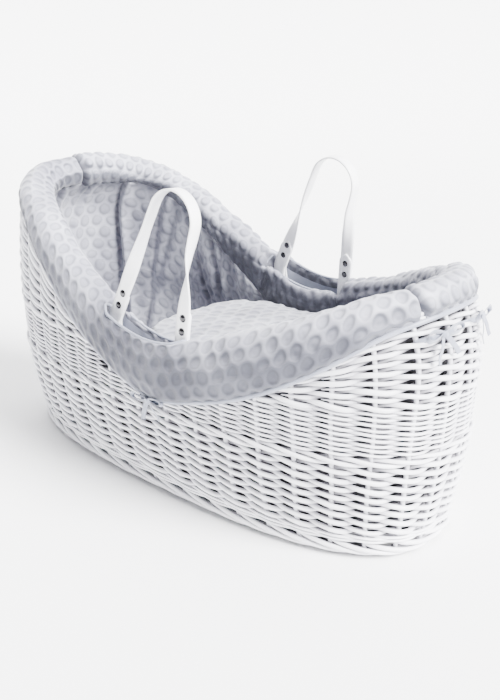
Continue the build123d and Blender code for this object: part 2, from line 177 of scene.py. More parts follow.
def foot_length(z):
    return bulge(z, FOOT_BASE_LENGTH, FOOT_FLARE, FOOT_BULGE_HEIGHT, 38 * mm, 125 * mm, 2)


def oval_point(angle, head, foot, width, exponent):
    """Point of a squared oval: angle 0 is the foot, a quarter turn the far side."""
    along, across = np.cos(angle), np.sin(angle)
    length = np.where(along > 0, foot, head)
    x = length * np.abs(along) ** (2 / exponent) * np.sign(along)
    y = width * np.abs(across) ** (2 / exponent) * np.sign(across)
    return x, y


def even_turns():
    """Table from the share of the way round the basket to the plan angle, evenly spaced."""
    z = SIDE_BULGE_HEIGHT
    angles = np.linspace(0, 2 * pi, 7201)
    x, y = oval_point(angles, head_length(z), foot_length(z), half_width(z), TURN_POWER)
    run = np.concatenate([[0], np.cumsum(np.hypot(np.diff(x), np.diff(y)))])
    return run / run[-1], angles


TURN_TABLE = even_turns()


def wall_base(turn, z):
    """Point on the wall's outer surface: turn is the share of the way round from the foot."""
    angle = np.interp(turn % 1, *TURN_TABLE)
    exponent = BASE_POWER + (RIM_POWER - BASE_POWER) * np.minimum(z / RIM_POWER_HEIGHT, 1)
    x, y = oval_point(angle, head_length(z), foot_length(z), half_width(z), exponent)
    return np.stack([x, y, z + 0 * x], -1)


def wall_normal(turn, z):
    """Outward unit normal of the wall."""
    step, rise = 2e-3, 2 * mm
    around = wall_base(turn + step, z) - wall_base(turn - step, z)
    up = wall_base(turn, z + rise) - wall_base(turn, z - rise)
    normal = np.cross(around, up)
    return normal / np.linalg.norm(normal, axis=-1, keepdims=True)


def on_wall(turn, z, out):
    """Point out metres outside the wall, square to it."""
    turn, z, out = np.broadcast_arrays(turn, z, out)
    return wall_base(turn, z) + wall_normal(turn, z) * out[..., None]


def smooth_line(points):
    """Dense smooth line through listed (x, z) points in millimetres."""
    known = np.array(points, float) * mm
    x, z = known[:, 0], known[:, 1]
    slope = np.gradient(z, x)
    dense = np.linspace(x[0], x[-1], 1500)
    i = np.clip(np.searchsorted(x, dense) - 1, 0, len(x) - 2)
    gap = x[i + 1] - x[i]
    t = (dense - x[i]) / gap
    line = ((1 + 2 * t) * (1 - t) ** 2 * z[i] + t * (1 - t) ** 2 * gap * slope[i]
            + t * t * (3 - 2 * t) * z[i + 1] + t * t * (t - 1) * gap * slope[i + 1])
    return dense, line


LINES = {"rim": smooth_line(RIM), "hem": smooth_line(HEM), "crest": smooth_line(CREST)}


def line_height(turn, name):
    """Height at which a side-view line meets the wall."""
    z = np.full(np.shape(turn), 0.3)
    for _ in range(12):
        z = np.interp(wall_base(turn, z)[..., 0], *LINES[name])
    return z


def turn_at(x, side):
    """Share of the way round at which the rim is at x, on the near (-1) or far (1) side."""
    turns = np.linspace(0.02, 0.48, 2000)
    reach = wall_base(turns, SLOT_LEVEL)[:, 0]
    found = np.interp(-x, -reach, turns)
    return found if side > 0 else 1 - found


# ---------------------------------------------------------------- meshes from grids of points
def patch(points, relief=None, close_rows=False, close_columns=True, material=0):
    """A grid of points for make_mesh; relief is a value for the material's colour, 0 to 1."""
    if relief is None:
        relief = np.zeros(points.shape[:2])
    return {"points": points, "relief": np.broadcast_to(relief, points.shape[:2]),
            "close_rows": close_rows, "close_columns": close_columns,
            "caps": close_columns and not close_rows, "material": material}


def patch_quads(rows, columns, close_rows, close_columns):
    """Corner numbers of a grid's quads."""
    i = np.arange(rows if close_rows else rows - 1)
    j = np.arange(columns if close_columns else columns - 1)
    i, j = np.meshgrid(i, j, indexing="ij")
    i2, j2 = (i + 1) % rows, (j + 1) % columns
    return np.stack([i * columns + j, i * columns + j2, i2 * columns + j2, i2 * columns + j],
                    -1).reshape(-1, 4)


def make_mesh(name, patches, materials, body="basket", replaces=()):
    """Join patches into one smooth mesh object that rides on a body."""
    corners, quads, ends, relief, quad_material = [], [], [], [], []
    start = 0
    for piece in patches:
        rows, columns = piece["points"].shape[:2]
        corners.append(piece["points"].reshape(-1, 3))
        relief.append(piece["relief"].reshape(-1))
        faces = patch_quads(rows, columns, piece["close_rows"], piece["close_columns"])
        quads.append(faces + start)
        quad_material.append(np.broadcast_to(piece["material"], len(faces)))
        if piece["caps"]:
            ends.append(np.arange(columns)[::-1] + start)
            ends.append(np.arange(columns) + start + (rows - 1) * columns)
        start += rows * columns
    corners, quads = np.concatenate(corners), np.concatenate(quads)
    loops = np.concatenate([quads.reshape(-1), *ends]).astype(np.int32)
    totals = np.concatenate([np.full(len(quads), 4), [len(e) for e in ends]]).astype(np.int32)
    starts = np.concatenate([[0], np.cumsum(totals)[:-1]]).astype(np.int32)
    mesh = bpy.data.meshes.new(name)
    mesh.vertices.add(len(corners))
    mesh.vertices.foreach_set("co", corners.astype(np.float32).ravel())
    mesh.loops.add(len(loops))
    mesh.loops.foreach_set("vertex_index", loops)
    mesh.polygons.add(len(totals))
    mesh.polygons.foreach_set("loop_start", starts)
    mesh.polygons.foreach_set("loop_total", totals)
    for material in materials:
        mesh.materials.append(material)
    slots = np.concatenate([*quad_material, np.zeros(len(ends))]).astype(np.int32)
    mesh.polygons.foreach_set("material_index", slots)
    mesh.polygons.foreach_set("use_smooth", np.ones(len(totals), bool))
    attribute = mesh.attributes.new("relief", "FLOAT", "POINT")
    attribute.data.foreach_set("value", np.concatenate(relief).astype(np.float32))
    mesh.update(calc_edges=True)
    mesh.validate()
    piece = bpy.data.objects.new(name, mesh)
    bpy.context.scene.collection.objects.link(piece)
    if body:
        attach(piece, body)
    if replaces:
        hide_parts(*replaces)
    return piece


def unit(vectors):
    return vectors / np.maximum(np.linalg.norm(vectors, axis=-1, keepdims=True), 1e-12)


def ease(share):
    """0 to 1 with level ends."""
    return share * share * (3 - 2 * share)


def relax(path, times, closed=False):
    """Soften the corners of a path."""
    for _ in range(times):
        if closed:
            path = (np.roll(path, 1, 0) + 2 * path + np.roll(path, -1, 0)) / 4
        else:
            path[1:-1] = (path[:-2] + 2 * path[1:-1] + path[2:]) / 4
    return path


def tangents(path, closed):
    """Unit direction of a path at each of its points."""
    if closed:
        return unit(np.roll(path, -1, 0) - np.roll(path, 1, 0))
    return unit(np.gradient(path, axis=0))


def tube(path, radius, normals, closed=False, sides=8, squash=1.0):
    """Rings of a round or flattened rod along a path; normals point roughly outwards."""
    along = tangents(path, closed)
    normals = unit(normals - along * np.sum(normals * along, -1, keepdims=True))
    across = np.cross(along, normals)
    angle = 2 * pi * (np.arange(sides) + 0.5) / sides
    radius = np.broadcast_to(radius, len(path))[:, None, None]
    ring = (normals[:, None] * np.cos(angle)[None, :, None] * squash
            + across[:, None] * np.sin(angle)[None, :, None])
    return path[:, None] + ring * radius


# ---------------------------------------------------------------- materials
def new_material(name, colour, roughness, sheen=0.0, metallic=0.0, coat=0.0):
    """A material with its uniform values set on the shader itself."""
    material = bpy.data.materials.new(name)
    material.use_nodes = True
    shader = material.node_tree.nodes["Principled BSDF"]
    values = {"Base Color": (*colour, 1), "Roughness": roughness, "Metallic": metallic,
              "Coat Weight": coat, "Coat Roughness": 0.25, "Sheen Weight": sheen,
              "Sheen Roughness": 0.45}
    for key, value in values.items():
        shader.inputs[key].default_value = value
    return material, shader


def place_in_metres(material):
    """The point's place in the object's own metres."""
    return material.node_tree.nodes.new("ShaderNodeTexCoord").outputs["Object"]


def add_noise(material, scale, detail=4.0, stretch=(1, 1, 1)):
    """Noise in the object's own metres, stretched along an axis."""
    nodes, links = material.node_tree.nodes, material.node_tree.links
    mapping = nodes.new("ShaderNodeMapping")
    mapping.inputs["Scale"].default_value = stretch
    texture = nodes.new("ShaderNodeTexNoise")
    texture.inputs["Scale"].default_value = scale
    texture.inputs["Detail"].default_value = detail
    links.new(place_in_metres(material), mapping.inputs["Vector"])
    links.new(mapping.outputs["Vector"], texture.inputs["Vector"])
    return texture.outputs["Fac"]


def add_ramp(material, value, stops):
    """Colour ramp over a value; stops are (place, colour)."""
    ramp = material.node_tree.nodes.new("ShaderNodeValToRGB")
    elements = ramp.color_ramp.elements
    while len(elements) < len(stops):
        elements.new(0.5)
    for element, (place, colour) in zip(elements, stops):
        element.position = place
        element.color = (*colour, 1)
    material.node_tree.links.new(value, ramp.inputs["Fac"])
    return ramp.outputs["Color"]


def add_relief(material):
    """The mesh's own relief value."""
    node = material.node_tree.nodes.new("ShaderNodeAttribute")
    node.attribute_name = "relief"
    return node.outputs["Fac"]


def multiply(material, first, second):
    """Two colours multiplied."""
    node = material.node_tree.nodes.new("ShaderNodeMix")
    node.data_type = "RGBA"
    node.blend_type = "MULTIPLY"
    node.inputs["Factor"].default_value = 1.0
    material.node_tree.links.new(first, node.inputs[6])
    material.node_tree.links.new(second, node.inputs[7])
    return node.outputs[2]


def add_bump(material, shader, height, distance, strength=1.0):
    node = material.node_tree.nodes.new("ShaderNodeBump")
    node.inputs["Distance"].default_value = distance
    node.inputs["Strength"].default_value = strength
    links = material.node_tree.links
    links.new(height, node.inputs["Height"])
    links.new(node.outputs["Normal"], shader.inputs["Normal"])


def willow_material():
    """White paint over willow, with painted shade: darker on rods that lie further back and on
    faces turned inwards, so greyer between the rods; grain along them.
    """
    material, shader = new_material("willow_paint", (0.86, 0.86, 0.88), 0.42, coat=0.15)
    # Painted shade: the relief ramp darkens the weave towards its back, down to near black between
    # the rods.
    depth = add_ramp(material, add_relief(material),
                     [(0.0, (0.06, 0.055, 0.06)), (0.32, (0.22, 0.21, 0.235)),
                      (0.68, (0.64, 0.635, 0.68)), (1.0, (0.86, 0.86, 0.89))])
    mottle = add_ramp(material, add_noise(material, 22, 5, (1, 1, 3)),
                      [(0.3, (0.9, 0.885, 0.9)), (0.6, (1, 1, 1))])
    material.node_tree.links.new(multiply(material, depth, mottle),
                                 shader.inputs["Base Color"])
    add_bump(material, shader, add_noise(material, 60, 6, (1, 1, 14)), 0.5 * mm, 0.5)
    return material


def plush_material(name, valley, dome, upright):
    """Short pile: darker domes, pale ridges between them, painted shade at the domes' edges and on
    faces that look sideways or down.
    """
    material, shader = new_material(name, dome, 0.95, sheen=0.35)
    # Painted shade at the domes' edges: the ramp darkens the slope between ridge and dome.
    edge = tuple(0.8 * part for part in dome)
    dome_tone_and_edge_shade = add_ramp(material, add_relief(material),
                   [(0.12, valley), (0.42, edge), (0.62, edge), (0.9, dome)])
    mottle = add_ramp(material, add_noise(material, 45, 6),
                      [(0.3, (0.84, 0.84, 0.86)), (0.62, (1, 1, 1))])
    brushed = add_ramp(material, add_noise(material, 9, 3),
                       [(0.38, (0.55, 0.55, 0.59)), (0.62, (1, 1, 1))])
    nodes, links = material.node_tree.nodes, material.node_tree.links
    facing = nodes.new("ShaderNodeNewGeometry")
    split = nodes.new("ShaderNodeSeparateXYZ")
    links.new(facing.outputs["Normal"], split.inputs["Vector"])
    # Painted shade: faces that look sideways or down are darkened towards the upright colour.
    painted_underside_shade = add_ramp(material, split.outputs["Z"],
                    [(0.05, upright), (0.6, (1, 1, 1))])
    pile = multiply(material, multiply(material, dome_tone_and_edge_shade, mottle), brushed)
    links.new(multiply(material, pile, painted_underside_shade), shader.inputs["Base Color"])
    add_bump(material, shader, add_noise(material, 900, 3), 0.9 * mm, 0.55)
    return material


def mottled_material(name, colour, roughness, blotches, stops, grain, bump, **finish):
    """A colour that varies over soft blotches, and a fine grain."""
    material, shader = new_material(name, colour, roughness, **finish)
    shade = add_ramp(material, add_noise(material, *blotches), stops)
    material.node_tree.links.new(shade, shader.inputs["Base Color"])
    add_bump(material, shader, add_noise(material, *grain), *bump)
    return material


def cloth_material():
    """Plain woven mattress cover."""
    material, shader = new_material("mattress_cloth", (0.9, 0.9, 0.91), 0.85, sheen=0.15)
    nodes, links = material.node_tree.nodes, material.node_tree.links
    weave = nodes.new("ShaderNodeTexChecker")
    weave.inputs["Scale"].default_value = 900
    weave.inputs["Color1"].default_value = (0.78, 0.78, 0.8, 1)
    weave.inputs["Color2"].default_value = (0.66, 0.66, 0.69, 1)
    links.new(place_in_metres(material), weave.inputs["Vector"])
    shade = add_ramp(material, add_noise(material, 18, 4),
                     [(0.3, (0.93, 0.93, 0.94)), (0.7, (1, 1, 1))])
    links.new(multiply(material, weave.outputs["Color"], shade), shader.inputs["Base Color"])
    add_bump(material, shader, weave.outputs["Fac"], 0.25 * mm, 0.6)
    return material


def strap_material():
    """Coated white strap with a fine leather grain."""
    material, shader = new_material("strap_coating", (0.92, 0.92, 0.94), 0.38, coat=0.2)
    shade = add_ramp(material, add_noise(material, 35, 4),
                     [(0.3, (0.88, 0.88, 0.91)), (0.65, (0.95, 0.95, 0.96))])
    links = material.node_tree.links
    links.new(shade, shader.inputs["Base Color"])
    grain = material.node_tree.nodes.new("ShaderNodeTexVoronoi")
    grain.inputs["Scale"].default_value = 1100
    links.new(place_in_metres(material), grain.inputs["Vector"])
    add_bump(material, shader, grain.outputs["Distance"], 0.15 * mm, 0.35)
    return material


willow = willow_material()
cloth = cloth_material()
coating = strap_material()
# The last colour of each plush is the painted shade on its sideways and downward faces: deep on the
# bumper, slight on the lining, between on the quilt.
plush = plush_material("dimple_plush", (0.5, 0.505, 0.57), (0.375, 0.38, 0.44), (0.27, 0.275, 0.3))
lining_plush = plush_material("lining_plush", (0.5, 0.505, 0.56), (0.38, 0.385, 0.435),
                              (0.8, 0.8, 0.82))
quilt_plush = plush_material("quilt_plush", (0.38, 0.385, 0.43), (0.29, 0.295, 0.34),
                             (0.5, 0.5, 0.52))
# Back of the lining, painted near black as shade behind the rods.
painted_shade_backing = mottled_material("lining_back_painted_shade", (0.07, 0.068, 0.075), 0.95, (60, 4),
                           [(0.3, (0.045, 0.043, 0.05)), (0.7, (0.1, 0.095, 0.105))],
                           (600, 2), (0.3 * mm, 0.5))
satin = mottled_material("satin", (0.6, 0.62, 0.7), 0.38, (30, 3),
                         [(0.3, (0.22, 0.235, 0.3)), (0.7, (0.32, 0.335, 0.41))],
                         (700, 2, (1, 1, 5)), (0.2 * mm, 0.4), sheen=0.3)
nickel = mottled_material("dark_nickel", (0.06, 0.06, 0.065), 0.16, (120, 4),
                          [(0.35, (0.035, 0.033, 0.035)), (0.7, (0.1, 0.1, 0.105))],
                          (500, 3), (0.05 * mm, 0.3), metallic=1.0)


# ---------------------------------------------------------------- willow rods
SAMPLES = 8                  # points of a rod from one stake to the next
AROUND = np.arange(STAKE_COUNT * SAMPLES) / SAMPLES


def wander(size):
    """Slow, small irregularity along a rod that closes on itself."""
    turn = 2 * pi * np.arange(len(AROUND)) / len(AROUND)
    waves = [rng.normal() * np.cos(k * turn + rng.uniform(0, 2 * pi)) for k in (3, 7, 13, 21)]
    return size * sum(waves) / 2


def rod(stake, height, out, radius, closed):
    """One rod that runs round the wall; its colour carries painted shade, darker the further back
    it lies and where its surface faces inwards.
    """
    turn = (stake + 0.5) / STAKE_COUNT
    path = on_wall(turn, height, STAKE_DEPTH + out)
    normal = wall_normal(turn, height + 0 * turn)
    rings = tube(path, radius, normal, closed)
    facing = np.sum((rings - path[:, None]) * normal[:, None], -1)
    # Painted shade: relief rises with how far forward the rod lies and how far its surface faces
    # out.
    relief = np.clip(0.5 + (out / mm)[:, None] * 0.07 + facing / np.max(radius) * 0.28, 0, 1)
    return patch(rings, relief, close_rows=closed)


def runs_where(shown):
    """(first, count) of each unbroken stretch of a closed ring of flags."""
    if shown.all():
        return [(0, len(shown))]
    starts = np.flatnonzero(shown & ~np.roll(shown, 1))
    found = []
    for first in starts:
        count = 0
        while shown[(first + count) % len(shown)]:
            count += 1
        found.append((first, count))
    return found


def willow_piece(name, rods, node):
    make_mesh(name, rods, [willow], replaces=[node])


def pairing_row(height, radius, shown=None):
    """Two rods that twist about each other and pass alternate stakes in front and behind."""
    rods = []
    height = np.broadcast_to(height, AROUND.shape)
    radius = np.broadcast_to(radius, AROUND.shape)
    lift = wander(0.35 * mm)
    shown = np.ones(len(AROUND), bool) if shown is None else shown
    for first, count in runs_where(shown):
        if count < 2 * SAMPLES:
            continue
        part = (first + np.arange(count)) % len(AROUND)
        stake = AROUND[part]
        for strand in (0, 1):
            size = radius[part] * rng.uniform(0.93, 1.06) * (1 + wander(0.05)[part])
            swing = pi * (stake + strand)
            front = np.cos(swing)
            out = np.sign(front) * np.abs(front) ** 0.7 * (size + 1.6 * mm)
            up = -1.05 * size * np.sin(swing) + lift[part] + wander(0.25 * mm)[part]
            closed = count == len(AROUND)
            if not closed:
                from_end = np.minimum(np.arange(count), np.arange(count)[::-1])
                size = size * np.clip(0.45 + from_end / SAMPLES, 0, 1)
            rods.append(rod(stake, height[part] + up, out, size, closed))
    return rods


def wale_row(height, radius, rise):
    """Three rods that each pass two stakes in front and one behind."""
    rods = []
    for strand in range(3):
        phase = 2 * pi * (AROUND / (STAKE_COUNT / 13) - strand / 3)
        out = (2.0 * mm + radius) * np.cos(phase) + 1.2 * mm
        up = -rise * np.sin(phase) + wander(0.3 * mm)
        rods.append(rod(AROUND, height + up, out, radius * rng.uniform(0.95, 1.05), True))
    return rods


STAKE_TURN = (AROUND + 0.5) / STAKE_COUNT
RIM_ROUND = line_height(STAKE_TURN, "rim")
ROUND_X = wall_base(STAKE_TURN, RIM_ROUND)[:, 0]


def below_rim(height):
    """Where a row lies under the rim border, and clear of the straps' loops."""
    loops = (ROUND_X > SLOT_ENDS[0]) & (ROUND_X < SLOT_ENDS[1]) & (height > LOOPS_START)
    return (height < RIM_ROUND - BORDER_HEIGHT - 1 * mm) & ~loops


def build_lower_weave():
    """Tight thin rows above the foot border, then thick pairing up to the wale."""
    rods = []
    for height in (29.5 * mm, 35 * mm):
        rods += wale_row(height, 2.1 * mm, 1.8 * mm)
    rows = 8
    low, high = 38.5 * mm, WALE_BOTTOM - 1 * mm
    for i in range(rows):
        rods += pairing_row(low + (i + 0.5) * (high - low) / rows, THICK_ROD)
    willow_piece("lower_weave_rods", rods, "lower_weave")


def build_wale():
    rods = wale_row((WALE_BOTTOM + WALE_TOP) / 2, 2.9 * mm, 4.2 * mm)
    willow_piece("wale_rods", rods, "wale_band")


def build_upper_weave():
    """Thin pairing rows, then thick rows that fan out under the rising rim at both ends."""
    rods = []
    low = WALE_TOP + 1 * mm
    for i in range(9):
        height = np.full(len(AROUND), low + (i + 0.5) * THIN_PITCH)
        rods += pairing_row(height, THIN_ROD, below_rim(height))
    top = line_height(STAKE_TURN, "hem") + 10 * mm
    for side, rows in ((1, 9), (-1, 16)):
        room = (top - FAN_START) / rows
        for i in range(rows + 4):
            step = max(i & -i, 1) if i else rows
            height = FAN_START + room * (i + 0.5)
            shown = (room * step > 6.4 * mm) & (ROUND_X * side > 0) & (height < top - 9 * mm)
            size = np.clip(room * step, 7 * mm, THICK_PITCH) / THICK_PITCH * THICK_ROD
            rods += pairing_row(height, size, shown)
    willow_piece("upper_weave_rods", rods, "upper_weave")


def build_rim_border():
    """Three rods rolled round each other along the rim."""
    rods = []
    for strand in range(3):
        phase = 2 * pi * (AROUND / (STAKE_COUNT / 19) + strand / 3)
        height = RIM_ROUND - BORDER_HEIGHT / 2 + 3.2 * mm * np.sin(phase)
        rods.append(rod(AROUND, height, 1.6 * mm * np.cos(phase), 3.3 * mm, True))
    willow_piece("rim_border_rods", rods, "rim_border")


def build_foot_border():
    """Each stake's end runs out and round three neighbours, down to the floor."""
    rods = []
    reach = 2.7
    share = np.linspace(0, 1, 26)
    for stake in range(STAKE_COUNT):
        run = stake + reach * share
        size = 3.7 * mm * rng.uniform(0.94, 1.06) * (1 - 0.2 * share)
        height = 25 * mm - 21 * mm * share ** 0.9 + rng.normal() * 0.5 * mm
        out = 9 * mm * np.sin(pi * np.clip(share * 1.05, 0, 1)) ** 0.6 - 1.5 * mm
        rods.append(rod(run, np.maximum(height, size), out, size, False))
    for height, out in ((4 * mm, -2 * mm), (11 * mm, -3 * mm)):
        rods.append(rod(AROUND, height + 0 * AROUND, np.full(len(AROUND), out), 3.6 * mm, True))
    willow_piece("foot_border_rods", rods, "foot_border")


def build_stakes():
    """Upright rods from the foot border into the rim border."""
    rods = []
    share = np.linspace(0, 1, 40)
    for stake in range(STAKE_COUNT):
        turn = (stake + 0.5) / STAKE_COUNT
        top = RIM_ROUND[stake * SAMPLES] - 6 * mm
        x = ROUND_X[stake * SAMPLES]
        if SLOT_ENDS[0] < x < SLOT_ENDS[1]:
            top -= 12 * mm
        height = 8 * mm + (top - 8 * mm) * share
        turns = turn + 0.0006 * np.sin(3 * pi * share + rng.uniform(0, 6))
        path = on_wall(turns, height, STAKE_DEPTH)
        rings = tube(path, STAKE_RADIUS * rng.uniform(0.94, 1.06), wall_normal(turns, height))
        rods.append(patch(rings, 0.72))
    willow_piece("stake_rods", rods, "stakes")


def build_base_mat():
    """Rods woven across lengthways sticks, inside the foot border."""
    rods = []
    middle = 21 * mm
    edge = 14 * mm
    stick_gap = 33 * mm
    sticks = stick_gap * (np.arange(9) - 4)

    def reach(offset, along, across):
        return along * (1 - (abs(offset) / across) ** BASE_POWER) ** (1 / BASE_POWER)

    width, head, foot = (BASE_HALF_WIDTH - edge, HEAD_BASE_LENGTH - edge, FOOT_BASE_LENGTH - edge)
    stick, over_under = 2.6 * mm, 2.6 * mm
    for y in sticks:
        x = np.linspace(-reach(y, head, width), reach(y, foot, width), 40)
        path = np.stack([x, y + 0 * x, middle + 0 * x], -1)
        # Painted shade: the sticks get a lower relief value than the rods woven over them, so they
        # come out greyer.
        rods.append(patch(tube(path, stick, UP), 0.5))
    for row, x in enumerate(np.arange(-head + 9 * mm, foot - 5 * mm, 7.2 * mm)):
        half = reach(x, width, foot if x > 0 else head)
        y = np.linspace(-half, half, 60)
        over = np.cos(pi * y / stick_gap + pi * row)
        path = np.stack([x + 0 * y, y, middle + over_under * over], -1)
        rods.append(patch(tube(path, stick, UP, sides=6), 0.7))
    willow_piece("base_mat_rods", rods, "base_mat")


# ---------------------------------------------------------------- padded dressing
def soft_noise(points, scale, seed):
    """Smooth noise from -1 to 1 at each point."""
    flat = points.reshape(-1, 3) / scale + seed * 17.3
    values = np.array([noise.noise(Vector(p)) for p in flat])
    return values.reshape(points.shape[:-1])


def dimples(u, v):
    """Height of the raised round dots at (u, v) metres on the cloth, from 0 to 1."""
    best = np.full(np.shape(u), 1e9)
    row = np.round(v / DIMPLE_ROW_GAP)
    for step in (-1, 0, 1):
        near = row + step
        shift = (near % 2) * DIMPLE_PITCH / 2
        column = np.round((u - shift) / DIMPLE_PITCH)
        distance = np.hypot(u - column * DIMPLE_PITCH - shift, v - near * DIMPLE_ROW_GAP)
        best = np.minimum(best, distance)
    share = np.clip(best / DIMPLE_RADIUS, 0, 1)
    ring = np.exp(-((share - 0.5) / 0.16) ** 2)
    return (1 - share ** 3) ** 1.3 * (0.86 + 0.14 * ring)


def run_lengths(points, axis):
    """Length along a grid of points, from its first line."""
    steps = np.linalg.norm(np.diff(points, axis=axis), axis=-1)
    run = np.cumsum(steps, axis=axis)
    start = np.zeros_like(np.take(run, [0], axis=axis))
    return np.concatenate([start, run], axis=axis)


def surface_normals(points, close_columns):
    """Unit normals of a grid of points."""
    down = np.gradient(points, axis=0)
    if close_columns:
        across = np.roll(points, -1, 1) - np.roll(points, 1, 1)
    else:
        across = np.gradient(points, axis=1)
    return unit(np.cross(down, across))


def closed_profile(knots, count):
    """Smooth closed curves through knots (rings, knots, 2), resampled to count points each."""
    total = knots.shape[1]
    t = np.arange(count) * total / count
    i = t.astype(int)
    f = (t - i)[None, :, None]
    p0, p1, p2, p3 = (knots[:, (i + k) % total] for k in (-1, 0, 1, 2))
    return 0.5 * (2 * p1 + (p2 - p0) * f + (2 * p0 - 5 * p1 + 4 * p2 - p3) * f**2
                  + (3 * p1 - p0 - 3 * p2 + p3) * f**3)


# Bumper section, from the hem up the outside, over the crest, down the inside and back under the
# rim. Each knot is (base line, share from hem to crest or mm above the rim, mm outside the wall).
# The slot section has a groove for the handle where the plain one has its crest.
PLAIN = [("hem", 0.0, 2.5), ("hem", 0.10, 9), ("hem", 0.3, 13.5), ("hem", 0.55, 14),
         ("hem", 0.8, 9.5), ("hem", 0.95, 2), ("hem", 1.0, -6), ("hem", 1.02, -13),
         ("hem", 1.02, -19), ("hem", 1.01, -24), ("hem", 0.98, -31), ("hem", 0.9, -37.5),
         ("hem", 0.78, -41.5), ("hem", 0.65, -42.5),
         ("rim", 2, -41), ("rim", -5, -37), ("rim", 0, -27), ("rim", 2, -14), ("rim", 2.5, -3),
         ("rim", -4, 1.2), ("hem", 0.25, 1.2), ("hem", 0.04, 0.8)]
SLOT = [("hem", 0.0, 2.5), ("hem", 0.10, 10), ("hem", 0.3, 15), ("hem", 0.55, 16.5),
        ("hem", 0.8, 15), ("hem", 0.93, 13), ("hem", 0.96, 9.5), ("hem", 0.9, 6.6),
        ("rim", 0, 6.2), ("rim", -25, 5),
        ("rim", -26, -27), ("rim", 0, -29.5), ("hem", 0.77, -30.5), ("hem", 0.84, -35),
        ("hem", 0.77, -41), ("rim", -14, -41), ("rim", -30, -36), ("rim", -30, -20),
        ("rim", -30, -4), ("rim", -31, 2), ("hem", 0.2, 1.5), ("hem", 0.04, 0.8)]
GROOVE_KNOTS = (7.0, 12.2)    # the satin lining of the groove, and its two bound lips
LIP_KNOTS = (6.2, 12.9)


def slot_share(turn):
    """1 inside a handle's slot, 0 away from it, easing between."""
    x = wall_base(turn, SLOT_LEVEL)[..., 0]
    inside = np.minimum(x - SLOT_ENDS[0], SLOT_ENDS[1] - x)
    return np.clip(inside / SLOT_EASE, 0, 1)


def section_knots(section, turn):
    """(height, outset) of every knot of a section, at each place round the wall."""
    hem, crest, rim = (line_height(turn, name) for name in ("hem", "crest", "rim"))
    rows = []
    for base, along, out in section:
        height = hem + along * (crest - hem) if base == "hem" else rim + along * mm
        rows.append(np.stack([height, np.full_like(height, out * mm)], -1))
    return np.stack(rows, 1)


def mixed_knots(turn, blend):
    """Knots of the plain section turning into those of the slot's."""
    return section_knots(PLAIN, turn) * (1 - blend) + section_knots(SLOT, turn) * blend


def foot_share(turn):
    """1 at the foot end, 0 along the sides."""
    return np.clip((wall_base(turn, FOOT_LEVEL)[:, 0] - 300 * mm) / (100 * mm), 0, 1)


def bumper_rings(turn, count, puff=0.0, tuck=0.0):
    """Rings of the bumper round the wall, before dimples."""
    knots = mixed_knots(turn, ease(slot_share(turn)[:, None, None]))
    foot = ease(foot_share(turn)[:, None])
    outset = knots[:, 1:15, 1]
    knots[:, 1:15, 1] = outset - foot * FOOT_TUCK * np.clip(1 + outset / (20 * mm), 0, 1)
    knots[:, 1:15, 1] += puff * np.sign(knots[:, 1:15, 1] + 18 * mm) - tuck
    knots[:, 3:13, 0] += foot * FOOT_LIFT
    section = closed_profile(knots, count)
    return on_wall(turn[:, None], section[..., 0], section[..., 1])


def dressed(points, u, v, mask, dome=1.0, folds=0.0, seed=0, close_columns=True):
    """Raise dimples and soft unevenness on a grid of points."""
    normal = surface_normals(points, close_columns)
    slow = soft_noise(points, 55 * mm, seed)
    fine = soft_noise(points, 17 * mm, seed + 3)
    dots = dimples(u + 4 * mm * slow, v + 4 * mm * fine)
    rise = (dots * DIMPLE_HEIGHT * dome * (1 + 0.4 * slow) + 2.6 * mm * slow
            + 0.9 * mm * fine) * mask + folds
    return points + normal * rise[..., None], dots * mask


def bumper_part(name, first, last, node, puff=0.0, tuck=0.0, seed=0):
    """A length of bumper between two places round the wall, with rounded ends."""
    rings = int(abs(last - first) * 2100 / 2.2)
    count = 154
    turn = np.linspace(first, last, rings)
    points = bumper_rings(turn, count, puff, tuck)
    shift = int(count * 2 / len(PLAIN))
    v = run_lengths(points, 1)
    u = np.broadcast_to(run_lengths(points[:, shift:shift + 1], 0), v.shape)
    knot = np.arange(count) * len(PLAIN) / count
    grooved = np.clip(np.minimum(knot - GROOVE_KNOTS[0], GROOVE_KNOTS[1] - knot), 0, 0.5) * 2
    lining = slot_share(turn)[:, None] * grooved[None]
    hidden = np.clip(knot - 14.5, 0, 1) + np.clip(1 - knot * 1.2, 0, 1)
    mask = np.clip(1 - lining - hidden[None], 0, 1)
    points, dots = dressed(points, u, v, mask, seed=seed)
    edge = np.minimum(np.arange(rings), np.arange(rings)[::-1])
    pinch = np.clip(1 - edge / 5, 0, 1) ** 2
    centre = points.mean(1, keepdims=True)
    points = centre + (points - centre) * (1 - 0.5 * pinch[:, None, None])
    groove = (lining[:-1] > 0.4).astype(int)
    piece = make_mesh(name, [patch(points, 0.15 + 0.85 * dots, material=groove.ravel())],
                      [plush, satin], replaces=[node])


def build_bumper():
    """Near and far halves that meet at the hood, and the panel over the foot end."""
    turns = np.linspace(0, 0.12, 400)
    panel = np.interp(FOOT_PANEL_HALF_WIDTH, wall_base(turns, 0.35)[:, 1], turns)
    bumper_part("bumper_near_padding", 1 - panel + 0.0005, 0.5005, "bumper_near", seed=1)
    bumper_part("bumper_far_padding", panel - 0.0005, 0.4995, "bumper_far", seed=2)
    bumper_part("bumper_foot_padding", -panel - 0.001, panel + 0.001, "bumper_foot",
                puff=2.5 * mm, tuck=3 * mm, seed=3)


def build_hem_piping():
    turn = np.linspace(0, 1, 900, endpoint=False)
    height = line_height(turn, "hem") + 0.5 * mm
    path = on_wall(turn, height, (3.2 - 2.4 * foot_share(turn)) * mm)
    rings = tube(path, 3.1 * mm, wall_normal(turn, height), True, sides=10, squash=0.75)
    make_mesh("hem_piping_cord", [patch(rings, close_rows=True)], [satin],
              replaces=["hem_piping"])


